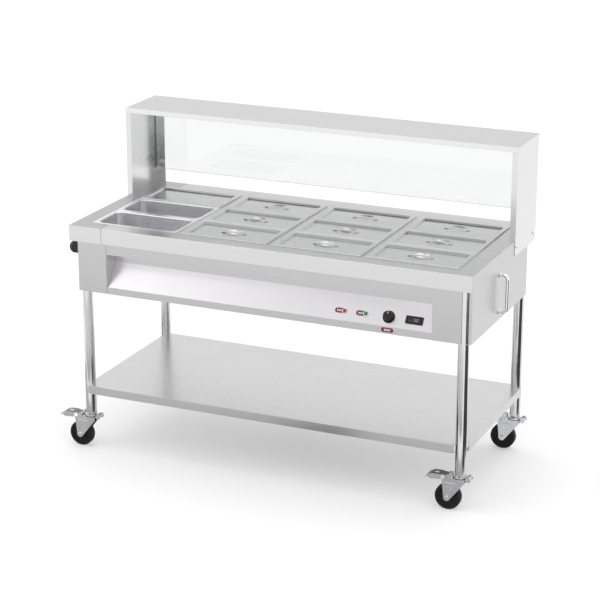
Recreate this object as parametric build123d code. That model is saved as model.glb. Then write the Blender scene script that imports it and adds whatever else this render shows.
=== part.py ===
from build123d import *

import math
import os

# Mobile electric steam table: a heated water well with twelve food pans in four columns,
# a glass serving guard with a top shelf along the rear, an undershelf and four braked casters.
# Layout axes: +X to the right, +Y to the rear, +Z up, in millimetres. X = 0 is the middle of the
# worktop and Y = 0 its front face. Each piece is moved on export, so that the origin is
# the bottom centre of the whole object's box.

# ---- driving dimensions ------------------------------------------------------------------
SHEET = 1.2                      # stainless sheet of the cabinet
FOLD_RADIUS = 1.0                # outside radius of the sheets' long folds
GAP = 0.3                        # air between pieces that move against each other
RUNNING = 0.05                   # radial clearance of a shaft in its bore

TOP_LENGTH = 1470.0
TOP_DEPTH = 660.0
TOP_HEIGHT = 820.0
FASCIA_HEIGHT = 55.0
SEAM_X = -610.0                  # joint between the main top and its left end piece
SEAM_GAP = 0.8

CABINET_LEFT = -702.7
CABINET_REAR = 580.0
CABINET_BOTTOM = 588.0
FRONT_SETBACK = 1.0              # front panel behind the worktop's front face
SIDE_FRONT = 8.0                 # front edge of the right side panel

LEG_RADIUS = 19.0
LEG_WALL = 1.5
LEG_X = (-682.0, 705.0)
LEG_Y = (22.0, 599.5)
LEG_BOTTOM = 131.0

SHELF_HEIGHT = 236.0
SHELF_APRON = 30.0
SHELF_LEFT = -690.0

GUARD_TOP = 1143.0
GUARD_FRONT = 430.0
GUARD_SHEET = 2.0
GUARD_LIP = 17.0
GUARD_SIDE_BOTTOM = 767.0
FRONT_FLANGE = 18.0
REAR_FLANGE = 36.0
GLASS_THICKNESS = 6.0
GLASS_BOTTOM = 872.0

# Food pans: one-third gastronorm, 325 x 176 mm nominal.
PAN_LENGTH = 325.0
PAN_WIDTH = 175.4
PAN_DEPTH = 100.0
PAN_FLANGE = 13.0
PAN_WALL = 0.9
PAN_CORNER = 26.0
PAN_TAPER = 4.0
PAN_FLOOR_RADIUS = 12.0
MOUTH_BEND = 2.2                 # radius under the flange where the wall turns out
ROW_PITCH = 176.0
COLUMN_PITCH = 340.0
FIRST_COLUMN_X = -512.5
FIRST_ROW_Y = 145.5
COLUMNS = 4
ROWS = 3
OPEN_COLUMNS = 1                 # the leftmost column has no handled lids
PLAIN_LID = (3, 1)               # row and column of the pan with a plain lid

LID_MARGIN = 1.0
LID_SHEET = 1.0
LID_EDGE = 2.4                   # height of the lid's rim above the pan's flange
LID_POCKET = 6.0
LID_RIM = 17.0
DISH_RADIUS = 38.0
DISH_DEPTH = 12.0
STRAP_WIDTH = 14.0
STRAP_THICKNESS = 1.8
STRAP_RISE = 3.5

RECESS_X = (-590.0, 602.0)
RECESS_Z = (612.0, 730.0)
RECESS_DEPTH = 60.0
SLOPE_TOP = 690.0

KNOB_X, LAMP_RED_X, LAMP_GREEN_X, DISPLAY_X = 445.0, 289.0, 364.0, 534.0
CONTROLS_UP = 34.0               # distance of the controls up the sloping panel
KNOB_RADIUS = 21.5
KNOB_HEIGHT = 18.0
SHAFT_RADIUS = 3.0
LAMP_RADIUS = 7.0
DISPLAY_SIZE = (60.0, 27.0)

TANK_FLOOR = 695.0
ELEMENT_RADIUS = 4.5
ELEMENT_HEIGHT = 710.0
ELEMENT_BEND = 14.0

WHEEL_RADIUS = 45.0
WHEEL_WIDTH = 26.0
AXLE_RADIUS = 4.0
TRAIL = 40.0                     # swivel axis to axle
FORK_INSIDE = 17.5
FORK_SHEET = 2.5
FORK_TOP = 116.7
SWIVEL_RADIUS = 24.5
KINGPIN_RADIUS = 6.0
PEDAL_REACH = 115.0
PEDAL_PIVOT = (-36.0, 121.0)     # offset along X from the swivel axis, and height

HANDLE_Y = 286.0
HANDLE_Z = (616.5, 744.5)
HANDLE_REACH = 32.0
HANDLE_RADIUS = 6.0

INLET_Y, INLET_Z = 64.0, 724.0
INLET_RADIUS = 22.0
INLET_LENGTH = 64.0

DRAIN_X, DRAIN_Y = -500.0, 330.0
DRAIN_PIPE = 13.0
DRAIN_SPIGOT = 10.5
DRAIN_SPIGOT_LENGTH = 22.0
VALVE_Z = (535.0, 575.0)
VALVE_HALF = 18.0
LEVER_LENGTH = 92.0

# ---- derived places ----------------------------------------------------------------------
FRONT_SEAM_X = RECESS_X[0] - SHEET - 0.4
TOP_X = (-TOP_LENGTH / 2, TOP_LENGTH / 2)
FASCIA_BOTTOM = TOP_HEIGHT - FASCIA_HEIGHT
UNDER_TOP = TOP_HEIGHT - SHEET
PAN_Z = TOP_HEIGHT + GAP                        # underside of the pan flanges
LID_Z = PAN_Z + PAN_WALL + GAP                  # underside of the lid edges
PAN_MOUTH = (PAN_LENGTH - 2 * PAN_FLANGE, PAN_WIDTH - 2 * PAN_FLANGE)
WELL_LEDGE = 9.0                                # how far the pan flanges lie on the top
WELL_X = (
    FIRST_COLUMN_X - PAN_LENGTH / 2 + WELL_LEDGE,
    FIRST_COLUMN_X + (COLUMNS - 1) * COLUMN_PITCH + PAN_LENGTH / 2 - WELL_LEDGE,
)
WELL_Y = (
    FIRST_ROW_Y - PAN_WIDTH / 2 + WELL_LEDGE,
    FIRST_ROW_Y + (ROWS - 1) * ROW_PITCH + PAN_WIDTH / 2 - WELL_LEDGE,
)
GUARD_OUTER = TOP_X[1] + 0.2 + GUARD_SHEET      # outer face of the guard's side panels
BOLT_Y = (GUARD_FRONT + 12.0, 628.0)
BOLT_Z = TOP_HEIGHT - 20.0
BOLT_RADIUS = 3.0

ORIGIN_X = (LEG_X[0] - PEDAL_REACH + TOP_X[1] + HANDLE_REACH) / 2
ORIGIN_Y = (LEG_Y[0] - SWIVEL_RADIUS + TOP_DEPTH) / 2

SLOPE_FOOT = Vector(0, FRONT_SETBACK + SHEET + 0.2, RECESS_Z[0])
slope = (Vector(0, RECESS_DEPTH, SLOPE_TOP) - SLOPE_FOOT).normalized()
slope_normal = Vector(0, -slope.Z, slope.Y)


# ---- helpers -----------------------------------------------------------------------------
def block(x, y, z):
    """Box between three (low, high) pairs."""
    centre = [(low + high) / 2 for low, high in (x, y, z)]
    return Pos(*centre) * Box(x[1] - x[0], y[1] - y[0], z[1] - z[0])


def rod_x(y, z, radius, x):
    """Cylinder along X between the (low, high) pair x."""
    return Pos((x[0] + x[1]) / 2, y, z) * Rot(0, 90, 0) * Cylinder(radius, x[1] - x[0])


def rod_y(x, z, radius, y):
    """Cylinder along Y between the (low, high) pair y."""
    return Pos(x, (y[0] + y[1]) / 2, z) * Rot(90, 0, 0) * Cylinder(radius, y[1] - y[0])


def rod_z(x, y, radius, z):
    """Cylinder along Z between the (low, high) pair z."""
    return Pos(x, y, (z[0] + z[1]) / 2) * Cylinder(radius, z[1] - z[0])


def tube_z(x, y, outer, inner, z):
    """Upright tube."""
    return rod_z(x, y, outer, z) - rod_z(x, y, inner, z)


def plate_x(outline, x):
    """Flat plate with a (y, z) outline, between the (low, high) pair x."""
    face = Pos(x[0], 0, 0) * (Plane.YZ * Polygon(*outline, align=None))
    return extrude(face, x[1] - x[0], dir=(1, 0, 0))


def plate_y(outline, y):
    """Flat plate with an (x, z) outline, between the (low, high) pair y."""
    face = Pos(0, y[0], 0) * (Plane.XZ * Polygon(*outline, align=None))
    return extrude(face, y[1] - y[0], dir=(0, 1, 0))


def rounded_plate(length, width, radius, z):
    """Flat plate with rounded corners about the Z axis."""
    return extrude(Pos(0, 0, z[0]) * RectangleRounded(length, width, radius), z[1] - z[0])


def bent_outline(path, thickness):
    """Closed outline of a bent sheet: the path is one face, the sheet lies to its left."""
    inner = []
    for index, point in enumerate(path):
        before = path[max(index - 1, 0)]
        after = path[min(index + 1, len(path) - 1)]
        ends = [(before, point), (point, after)]
        normals = []
        for start, end in ends:
            run = math.dist(start, end)
            if run > 0:
                normals.append((-(end[1] - start[1]) / run, (end[0] - start[0]) / run))
        sum_y = sum(normal[0] for normal in normals)
        sum_z = sum(normal[1] for normal in normals)
        scale = thickness * len(normals) / (sum_y ** 2 + sum_z ** 2)
        inner.append((point[0] + sum_y * scale, point[1] + sum_z * scale))
    return list(path) + inner[::-1]


def on_slope(x, up):
    """Place on the sloping panel's face: local X runs to the right, local Z stands out of it."""
    foot = SLOPE_FOOT + slope * up
    return Location(Plane(origin=(x, foot.Y, foot.Z), x_dir=(1, 0, 0), z_dir=slope_normal))


def fold(piece, height, depths):
    """Round the folds along X at one height: the long edges whose Y is in depths."""
    edges = []
    for edge in piece.edges().filter_by(Axis.X):
        centre = edge.center()
        if abs(centre.Z - height) < 0.01 and any(abs(centre.Y - y) < 0.01 for y in depths):
            edges.append(edge)
    return fillet(edges, FOLD_RADIUS)


def edges_at(piece, height, half_length, half_width):
    """Edges at one height that lie within a rectangle about the Z axis."""
    found = []
    for edge in piece.edges():
        centre = edge.center()
        inside = abs(centre.X) < half_length and abs(centre.Y) < half_width
        if inside and abs(centre.Z - height) < 0.01:
            found.append(edge)
    return found


def group(solids):
    """Several separate solids as one sub-part."""
    return Compound(children=[solid.solid() for solid in solids])


# ---- worktop and cabinet -----------------------------------------------------------------
def guard_bolt_holes(side):
    """Cutters for the two guard bolts through one end of the worktop."""
    x = sorted((side * (TOP_X[1] - 30), side * (GUARD_OUTER + 5)))
    return [rod_x(y, BOLT_Z, BOLT_RADIUS + GAP, x) for y in BOLT_Y]


def worktop_piece(x):
    """Top sheet with front and rear fascias over the (low, high) pair x, cut for the well."""
    piece = block(x, (0, TOP_DEPTH), (UNDER_TOP, TOP_HEIGHT))
    piece += block(x, (0, SHEET), (FASCIA_BOTTOM, TOP_HEIGHT))
    piece += block(x, (TOP_DEPTH - SHEET, TOP_DEPTH), (FASCIA_BOTTOM, TOP_HEIGHT))
    piece = fold(piece, TOP_HEIGHT, (0, TOP_DEPTH))
    return piece - block(WELL_X, WELL_Y, (UNDER_TOP - 1, TOP_HEIGHT + 1))


def worktop_main():
    return worktop_piece((SEAM_X + SEAM_GAP / 2, TOP_X[1]))


def worktop_left_end():
    piece = worktop_piece((TOP_X[0], SEAM_X - SEAM_GAP / 2))
    piece += block((TOP_X[0], TOP_X[0] + SHEET), (0, TOP_DEPTH), (FASCIA_BOTTOM, TOP_HEIGHT))
    return piece - guard_bolt_holes(-1)


def divider_bars():
    """Three hat-section bars between the pan columns, level with the top."""
    half = 15.0
    web = 12.0
    bars = []
    for column in range(1, COLUMNS):
        middle = FIRST_COLUMN_X + (column - 0.5) * COLUMN_PITCH
        bar = block((middle - half, middle + half), WELL_Y, (UNDER_TOP, TOP_HEIGHT))
        for low in (middle - half, middle + half - SHEET):
            bar += block((low, low + SHEET), WELL_Y, (UNDER_TOP - web, UNDER_TOP))
        bars.append(bar)
    return group(bars)


def front_panel_left():
    """Flat front panel at the left, from the cabinet's corner to the seam beside the recess."""
    x = (CABINET_LEFT, FRONT_SEAM_X - SEAM_GAP)
    return block(x, (FRONT_SETBACK, FRONT_SETBACK + SHEET), (CABINET_BOTTOM, FASCIA_BOTTOM))


def front_frame():
    """Front panel with the control recess: cheeks, ceiling and lower band in one sheet."""
    face_y = (FRONT_SETBACK, FRONT_SETBACK + SHEET)
    back = RECESS_DEPTH + SHEET
    piece = block((FRONT_SEAM_X, LEG_X[1] - 2), face_y, (CABINET_BOTTOM, FASCIA_BOTTOM))
    piece -= block(RECESS_X, (0, 10), RECESS_Z)
    for x in ((RECESS_X[0] - SHEET, RECESS_X[0]), (RECESS_X[1], RECESS_X[1] + SHEET)):
        piece += block(x, (FRONT_SETBACK, back), (RECESS_Z[0], RECESS_Z[1] + SHEET))
    ceiling = (RECESS_Z[1], RECESS_Z[1] + SHEET)
    piece += block((RECESS_X[0] - SHEET, RECESS_X[1] + SHEET), (FRONT_SETBACK, back), ceiling)
    return piece


def control_panel():
    """Sloping panel at the back of the recess, with its control holes."""
    foot_y = SLOPE_FOOT.Y
    path = [
        (foot_y, RECESS_Z[0] - 18),
        (foot_y, RECESS_Z[0]),
        (RECESS_DEPTH, SLOPE_TOP),
        (RECESS_DEPTH, RECESS_Z[1] - 0.2),
    ]
    outline = bent_outline([(y, z) for y, z in reversed(path)], SHEET)
    piece = plate_x(outline, (RECESS_X[0] + GAP, RECESS_X[1] - GAP))
    piece -= on_slope(KNOB_X, CONTROLS_UP) * Cylinder(SHAFT_RADIUS + GAP, 20)
    for x in (LAMP_RED_X, LAMP_GREEN_X):
        piece -= on_slope(x, CONTROLS_UP) * Cylinder(LAMP_RADIUS - 0.8, 20)
    window = Box(DISPLAY_SIZE[0] - 3, DISPLAY_SIZE[1] - 3, 20)
    return piece - on_slope(DISPLAY_X, CONTROLS_UP) * window


def side_panel_right():
    """Right side sheet, level with the worktop's end, with a narrow return at its front."""
    x = (TOP_X[1] - SHEET, TOP_X[1])
    outline = [
        (SIDE_FRONT, CABINET_BOTTOM),
        (CABINET_REAR, CABINET_BOTTOM),
        (CABINET_REAR, FASCIA_BOTTOM),
        (TOP_DEPTH - SHEET, FASCIA_BOTTOM),
        (TOP_DEPTH - SHEET, UNDER_TOP),
        (SHEET, UNDER_TOP),
        (SHEET, FASCIA_BOTTOM),
        (SIDE_FRONT, FASCIA_BOTTOM),
    ]
    piece = plate_x(outline, x)
    flange_x = (LEG_X[1] + LEG_RADIUS + 0.5, TOP_X[1])
    piece += block(flange_x, (SIDE_FRONT, SIDE_FRONT + SHEET), (CABINET_BOTTOM, FASCIA_BOTTOM))
    for z in HANDLE_Z:
        piece -= rod_x(HANDLE_Y, z, 2.5 + GAP, (TOP_X[1] - 5, TOP_X[1] + 5))
    return piece - guard_bolt_holes(1)


def side_panel_left():
    x = (CABINET_LEFT, CABINET_LEFT + SHEET)
    y = (FRONT_SETBACK + SHEET, CABINET_REAR)
    piece = block(x, y, (CABINET_BOTTOM, UNDER_TOP))
    return piece - rod_x(INLET_Y, INLET_Z, 15 + GAP, (x[0] - 5, x[1] + 5))


def rear_and_floor_panel():
    """One sheet folded along the lower rear edge: the cabinet's back and its floor."""
    x = (CABINET_LEFT + SHEET, TOP_X[1] - SHEET)
    piece = block(x, (CABINET_REAR - SHEET, CABINET_REAR), (CABINET_BOTTOM, UNDER_TOP))
    floor_y = (FRONT_SETBACK + SHEET, CABINET_REAR)
    piece += block(x, floor_y, (CABINET_BOTTOM, CABINET_BOTTOM + SHEET))
    for leg_x in LEG_X:
        piece -= rod_z(leg_x, LEG_Y[0], LEG_RADIUS + 0.4, (CABINET_BOTTOM - 5, CABINET_BOTTOM + 5))
        piece -= block(
            (leg_x - 10, leg_x + 10), (0, LEG_Y[0]), (CABINET_BOTTOM - 5, CABINET_BOTTOM + 5)
        )
    corner_x = (LEG_X[1] + LEG_RADIUS, x[1] + 1)
    piece -= block(corner_x, (0, SIDE_FRONT + SHEET + 0.2), (CABINET_BOTTOM - 1, CABINET_BOTTOM + 5))
    drain = rod_z(DRAIN_X, DRAIN_Y, DRAIN_PIPE + 1, (CABINET_BOTTOM - 5, CABINET_BOTTOM + 5))
    return piece - drain


# ---- water well --------------------------------------------------------------------------
def element_ends():
    """Where the two ends of the heating tube pass down through the tank floor."""
    return [(-600.0, 110.0), (-600.0, 530.0)]


def water_tank():
    """The tank's floor and four walls, sheets welded at their edges; the walls stand on the floor."""
    outer_x = (WELL_X[0] - SHEET, WELL_X[1] + SHEET)
    outer_y = (WELL_Y[0] - SHEET, WELL_Y[1] + SHEET)
    wall_z = (TANK_FLOOR, UNDER_TOP)
    floor = block(outer_x, outer_y, (TANK_FLOOR - SHEET, TANK_FLOOR))
    through = (TANK_FLOOR - 5, TANK_FLOOR + 5)
    floor -= rod_z(DRAIN_X, DRAIN_Y, DRAIN_PIPE - 2, through)
    for x, y in element_ends():
        floor -= rod_z(x, y, ELEMENT_RADIUS + GAP, through)
    walls = [
        block(outer_x, (outer_y[0], WELL_Y[0]), wall_z),
        block(outer_x, (WELL_Y[1], outer_y[1]), wall_z),
        block((outer_x[0], WELL_X[0]), WELL_Y, wall_z),
        block((WELL_X[1], outer_x[1]), WELL_Y, wall_z),
    ]
    return group([floor] + walls)


def heating_tube():
    """One long tube bent to and fro over the tank floor, its ends turned down through it."""
    (x_left, y_front), (_, y_rear) = element_ends()
    x_right = 600.0
    turns_y = [y_front, 250.0, 390.0, y_rear]
    end_z = TANK_FLOOR - 28
    points = [(x_left, y_front, end_z)]
    for index, y in enumerate(turns_y):
        run = (x_left, x_right) if index % 2 == 0 else (x_right, x_left + 45)
        if index == 2:
            run = (x_left + 45, x_right)
        if index == 3:
            run = (x_right, x_left)
        points += [(x, y, ELEMENT_HEIGHT) for x in run]
    points.append((x_left, y_rear, end_z))
    route = FilletPolyline(*points, radius=ELEMENT_BEND)
    profile = Plane(origin=points[0], z_dir=(0, 0, 1)) * Circle(ELEMENT_RADIUS)
    return sweep(profile, path=route)


def heating_element():
    """The tube's heated length, flat above the tank floor, and its two unheated ends with their nuts."""
    tube = heating_tube()
    splice_x = element_ends()[0][0] + ELEMENT_BEND + 2
    low_z = TANK_FLOOR - 40
    pieces = [tube & block((splice_x, 700), (0, 700), (low_z, UNDER_TOP))]
    for x, y in element_ends():
        end = tube & block((-700, splice_x), (y - 30, y + 30), (low_z, UNDER_TOP))
        pieces.append(end + rod_z(x, y, 9, (TANK_FLOOR - SHEET - 8, TANK_FLOOR - SHEET)))
    return group(pieces)


def thermostat():
    """Switch block behind the sloping panel, with a bore for the knob's shaft."""
    behind = SHEET + GAP
    body = Pos(0, 0, -behind - 4 - 17) * Box(46, 40, 34)
    body += Pos(0, 0, -behind - 2) * Cylinder(9, 4)
    body -= Pos(0, 0, -behind - 9) * Cylinder(SHAFT_RADIUS + RUNNING, 20)
    return on_slope(KNOB_X, CONTROLS_UP) * body


def temperature_knob():
    """Fluted knob with a pointer ridge and its shaft."""
    skirt = Pos(0, 0, 1.5 + GAP) * Cylinder(KNOB_RADIUS, 3)
    grip_top = GAP + KNOB_HEIGHT
    grip = Pos(0, 0, 3 + GAP) * extrude(Circle(KNOB_RADIUS - 4), KNOB_HEIGHT - 3, taper=4)
    grip = fillet(grip.edges().group_by(Axis.Z)[-1], 1.5)
    flute = Cylinder(2.2, KNOB_HEIGHT * 2)
    flutes = [loc * flute for loc in PolarLocations(KNOB_RADIUS - 3.2, 12)]
    knob = skirt + (grip - flutes)
    knob += Pos(0, 8.5, grip_top - 1.2) * Box(2.4, 13, 3.2)
    knob += Pos(0, 0, -6) * Cylinder(SHAFT_RADIUS, 14)
    return on_slope(KNOB_X, CONTROLS_UP) * knob


def lamp(x):
    """Panel lamp: flange, domed lens and body through the panel."""
    lens = Pos(0, 0, 1.2) * Cylinder(LAMP_RADIUS, 2)
    lens += Pos(0, 0, 2.2) * (Sphere(LAMP_RADIUS - 1.2) & Pos(0, 0, 5) * Box(20, 20, 10))
    body = Pos(0, 0, -12) * Cylinder(LAMP_RADIUS - 1.1, 26)
    return on_slope(x, CONTROLS_UP) * (lens + body)


def display_unit():
    """Temperature display: raised bezel with a sunk window, and its body behind the panel."""
    width, height = DISPLAY_SIZE
    bezel = Pos(0, 0, 2.0) * Box(width, height, 3.6)
    bezel = fillet(bezel.edges().filter_by(Axis.Z), 2.5)
    bezel -= Pos(0, 0, 3.8) * Box(width - 14, height - 10, 1.6)
    body = Pos(0, 0, -19) * Box(width - 4, height - 4, 40)
    return on_slope(DISPLAY_X, CONTROLS_UP) * (bezel + body)


def power_inlet():
    """Ribbed round inlet on the left side panel, its dome pointing outwards."""
    face = CABINET_LEFT
    core = INLET_RADIUS - 2.5
    body = rod_x(INLET_Y, INLET_Z, core, (face - INLET_LENGTH, face - 3))
    body = fillet(body.edges().group_by(Axis.X)[0], 13)
    ribs = 6
    for index in range(ribs):
        start = face - 9 - index * 7.5
        body += rod_x(INLET_Y, INLET_Z, INLET_RADIUS, (start - 4, start))
    body += rod_x(INLET_Y, INLET_Z, INLET_RADIUS + 3, (face - 4, face))
    body += rod_x(INLET_Y, INLET_Z, 15, (face - 1, face + 12))
    body += rod_x(INLET_Y, INLET_Z, 20, (face + SHEET, face + SHEET + 7))
    return body


def drain_valve():
    """Pipe from the tank floor through the cabinet floor to a ball valve and a spigot."""
    x, y = DRAIN_X, DRAIN_Y
    bottom = TANK_FLOOR - SHEET
    piece = rod_z(x, y, DRAIN_PIPE, (VALVE_Z[1] - 2, bottom))
    piece += rod_z(x, y, DRAIN_PIPE + 7, (bottom - 3, bottom))
    body = block((x - VALVE_HALF, x + VALVE_HALF), (y - VALVE_HALF, y + VALVE_HALF), VALVE_Z)
    piece += fillet(body.edges().filter_by(Axis.Z), 8)
    piece += rod_z(x, y, DRAIN_SPIGOT, (VALVE_Z[0] - DRAIN_SPIGOT_LENGTH, VALVE_Z[0]))
    piece -= rod_z(x, y, DRAIN_PIPE - 3, (VALVE_Z[1] - 6, bottom + 1))
    piece -= rod_z(x, y, 7, (VALVE_Z[0] - DRAIN_SPIGOT_LENGTH - 1, VALVE_Z[0] + 8))
    stem_z = sum(VALVE_Z) / 2
    stem_y = (y - VALVE_HALF - 14, y - VALVE_HALF)
    piece += rod_y(x, stem_z, 5, stem_y)
    return piece + rod_y(x, stem_z, 9, (stem_y[0], stem_y[0] + 3))


def drain_lever():
    """Flat lever on the valve's stem, level when the valve is shut."""
    y_low = DRAIN_Y - VALVE_HALF - 10
    y = (y_low, y_low + 4)
    stem_z = sum(VALVE_Z) / 2
    lever = block((DRAIN_X, DRAIN_X + LEVER_LENGTH), y, (stem_z - 8, stem_z + 8))
    lever = fillet(lever.edges().filter_by(Axis.Y).group_by(Axis.X)[-1], 7)
    lever += rod_y(DRAIN_X, stem_z, 12, y)
    return lever - rod_y(DRAIN_X, stem_z, 5 + RUNNING, (y[0] - 1, y[1] + 1))


# ---- stand -------------------------------------------------------------------------------
def legs():
    inner = LEG_RADIUS - LEG_WALL
    return group(
        [tube_z(x, y, LEG_RADIUS, inner, (LEG_BOTTOM, UNDER_TOP)) for x in LEG_X for y in LEG_Y]
    )


def undershelf():
    """Shelf tray with a down-turned apron round it, notched for the legs."""
    front = LEG_Y[0] - LEG_RADIUS - SHEET
    rear = LEG_Y[1] + LEG_RADIUS + SHEET
    right = LEG_X[1] + LEG_RADIUS + SHEET
    z_apron = (SHELF_HEIGHT - SHELF_APRON, SHELF_HEIGHT)
    z_lip = (z_apron[0], z_apron[0] + SHEET)
    lip = 14.0
    piece = block((SHELF_LEFT, right), (front, rear), (SHELF_HEIGHT - SHEET, SHELF_HEIGHT))
    piece += block((LEG_X[0], LEG_X[1] - LEG_RADIUS), (front, front + SHEET), z_apron)
    piece += block((LEG_X[0], LEG_X[1] - LEG_RADIUS), (rear - SHEET, rear), z_apron)
    piece = fold(piece, SHELF_HEIGHT, (front, rear))
    piece += block((right - SHEET, right), (LEG_Y[0] + LEG_RADIUS, LEG_Y[1]), z_apron)
    between_y = (LEG_Y[0] + LEG_RADIUS + 1, LEG_Y[1] - LEG_RADIUS - 1)
    between_x = (LEG_X[0] + LEG_RADIUS + 1, LEG_X[1] - LEG_RADIUS - 1)
    piece += block((SHELF_LEFT, SHELF_LEFT + SHEET), between_y, z_apron)
    piece += block(between_x, (front, front + lip), z_lip)
    piece += block(between_x, (rear - lip, rear), z_lip)
    piece += block((right - lip, right), between_y, z_lip)
    piece += block((SHELF_LEFT, SHELF_LEFT + lip), between_y, z_lip)
    deep = (z_apron[0] - 5, SHELF_HEIGHT + 5)
    for x in LEG_X:
        for y in LEG_Y:
            piece -= rod_z(x, y, LEG_RADIUS, deep)
    # Sheet outside the front legs and the rear right leg is cut away.
    piece -= block((SHELF_LEFT - 5, LEG_X[0]), (0, LEG_Y[0]), deep)
    piece -= block((SHELF_LEFT - 5, LEG_X[0]), (LEG_Y[1], rear + 5), deep)
    piece -= block((LEG_X[1] - LEG_RADIUS, right + 5), (0, LEG_Y[0]), deep)
    piece -= block((LEG_X[1], right + 5), (0, LEG_Y[0] + LEG_RADIUS), deep)
    piece -= block((LEG_X[1] - LEG_RADIUS, right + 5), (LEG_Y[1], rear + 5), deep)
    return piece


def caster_stems():
    """Plug in the foot of each leg, collar, upper swivel race and kingpin."""
    stems = []
    for x in LEG_X:
        for y in LEG_Y:
            stem = rod_z(x, y, LEG_RADIUS - LEG_WALL, (LEG_BOTTOM, LEG_BOTTOM + 25))
            stem += rod_z(x, y, 15.5, (LEG_BOTTOM - 8, LEG_BOTTOM))
            stem += rod_z(x, y, SWIVEL_RADIUS - 1.5, (FORK_TOP + GAP, LEG_BOTTOM - 6.5))
            stem += rod_z(x, y, KINGPIN_RADIUS, (FORK_TOP - 12, FORK_TOP + 1))
            stem += rod_z(x, y, 10, (FORK_TOP - 12, FORK_TOP - FORK_SHEET - GAP))
            stems.append(stem)
    return group(stems)


def caster_fork(x, y):
    """Pressed fork with tapering cheeks, ears for the pedal and a rear bolt, and its axle bolt."""
    axle = (x - TRAIL, WHEEL_RADIUS)
    pivot = (x + PEDAL_PIVOT[0], PEDAL_PIVOT[1])
    outer = FORK_INSIDE + FORK_SHEET
    plate_z = (FORK_TOP - FORK_SHEET, FORK_TOP)
    fork = rod_z(x, y, SWIVEL_RADIUS, plate_z)
    fork += block((x - 33, x + 10), (y - outer, y + outer), plate_z)
    cheek = [
        (x - 58, 110), (x - 33, 110), (x - 33, FORK_TOP), (x + 20, FORK_TOP), (x + 20, 103),
        (axle[0] + 9, axle[1] - 7), (axle[0], axle[1] - 8), (axle[0] - 11, axle[1]),
    ]
    for inner in (y - outer, y + FORK_INSIDE):
        thick = (inner, inner + FORK_SHEET)
        fork += plate_y(cheek, thick) + rod_y(*axle, 11.5, thick)
        fork += block((pivot[0] - 7, pivot[0] + 7), thick, (FORK_TOP - 10, pivot[1] + 1))
        fork += rod_y(*pivot, 7, thick)
    fork += block((x + 15, x + 38), (y - 11, y + 11), plate_z)
    fork += rod_y(x + 32, FORK_TOP + 1, 4, (y - 12, y + 12))
    for side in (y - 16, y + 11):
        fork += rod_y(x + 32, FORK_TOP + 1, 9, (side, side + 5))
    fork -= rod_z(x, y, KINGPIN_RADIUS + RUNNING, (FORK_TOP - 10, FORK_TOP + 5))
    fork -= rod_y(*axle, AXLE_RADIUS + RUNNING, (y - 30, y + 30))
    fork -= rod_y(*pivot, 2.5 + RUNNING, (y - 30, y + 30))
    bolt = rod_y(*axle, AXLE_RADIUS, (y - outer - 4, y + outer + 4))
    for head in ((y - outer - 4, y - outer - 0.1), (y + outer + 0.1, y + outer + 4)):
        bolt += rod_y(*axle, 7, head)
    return group([fork, bolt])


def caster_wheel(x, y):
    """Moulded wheel with a wide hub; the tread's edges are rounded."""
    axle = (x - TRAIL, WHEEL_RADIUS)
    half = WHEEL_WIDTH / 2
    tread = rod_y(*axle, WHEEL_RADIUS, (y - half, y + half))
    tread = fillet(tread.edges(), 5)
    for side in (y - half, y + half):
        ring = rod_y(*axle, 33, (side - 3, side + 3)) - rod_y(*axle, 15, (side - 3, side + 3))
        tread -= ring
    hub_half = FORK_INSIDE - GAP
    tread += rod_y(*axle, 11, (y - hub_half, y + hub_half))
    return tread - rod_y(*axle, AXLE_RADIUS + RUNNING, (y - 30, y + 30))


def brake_pedal(x, y):
    """Foot pedal on a cross pin: a skirted tread plate, and the shoe that bears on the wheel."""
    pivot_x, pivot_z = PEDAL_PIVOT
    tip = -PEDAL_REACH
    path = [
        (tip, 106.5), (tip + 8, 115), (tip + 23, 121), (-62, 121.5), (-44, 120.5), (-31, 119),
    ]
    outline = [(x + px, pz) for px, pz in bent_outline(path, 3)]
    pedal = plate_y(outline, (y - 20, y + 20))
    for side in ((y - 21, y - 16), (y + 16, y + 21)):
        pedal -= block((x - 61, x), side, (90, 140))
    skirt = [(tip + 5, 112), (tip + 17, 105), (-62, 108), (-62, 124.5), (tip + 23, 124)]
    for side in (y - 20, y + 17.5):
        pedal += plate_y([(x + px, pz) for px, pz in skirt], (side, side + 2.5))
    pedal -= rod_y(x + pivot_x, pivot_z, 4.5, (y - 20, y + 20))
    pedal += rod_y(x + pivot_x, pivot_z, 4.5, (y - 16.5, y + 16.5))
    pedal += rod_y(x + pivot_x, pivot_z, 2.5, (y - 20.5, y + 20.5))
    emboss = Pos(x - 80, y, 124) * extrude(SlotOverall(18, 8), 1.2, taper=20)
    shoe = plate_y([(x - 54, 94), (x - 44, 93.4), (x - 42, 121), (x - 54, 122)], (y - 9, y + 9))
    return pedal + shoe + emboss


# ---- serving guard -----------------------------------------------------------------------
def guard_side(side):
    """Side panel of the guard: lapped over the worktop's end, with front and rear flanges."""
    inner = TOP_X[1] + 0.2
    y = (GUARD_FRONT + SHEET + 0.2, TOP_DEPTH - SHEET - 0.2)
    panel = block((inner, GUARD_OUTER), y, (GUARD_SIDE_BOTTOM, GUARD_TOP - SHEET - 0.2))
    lower = panel.edges().filter_by(Axis.X).group_by(Axis.Z)[0].sort_by(Axis.Y)
    panel = fillet(lower[-1], 14)
    flange_z = (TOP_HEIGHT + 0.5, GUARD_TOP - GUARD_LIP - 0.3)
    panel += block((inner - FRONT_FLANGE, inner), (y[0], y[0] + GUARD_SHEET), flange_z)
    panel += block((inner - REAR_FLANGE, inner), (y[1] - GUARD_SHEET, y[1]), flange_z)
    if side < 0:
        panel = mirror(panel, about=Plane.YZ)
    return panel - guard_bolt_holes(side)


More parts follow.
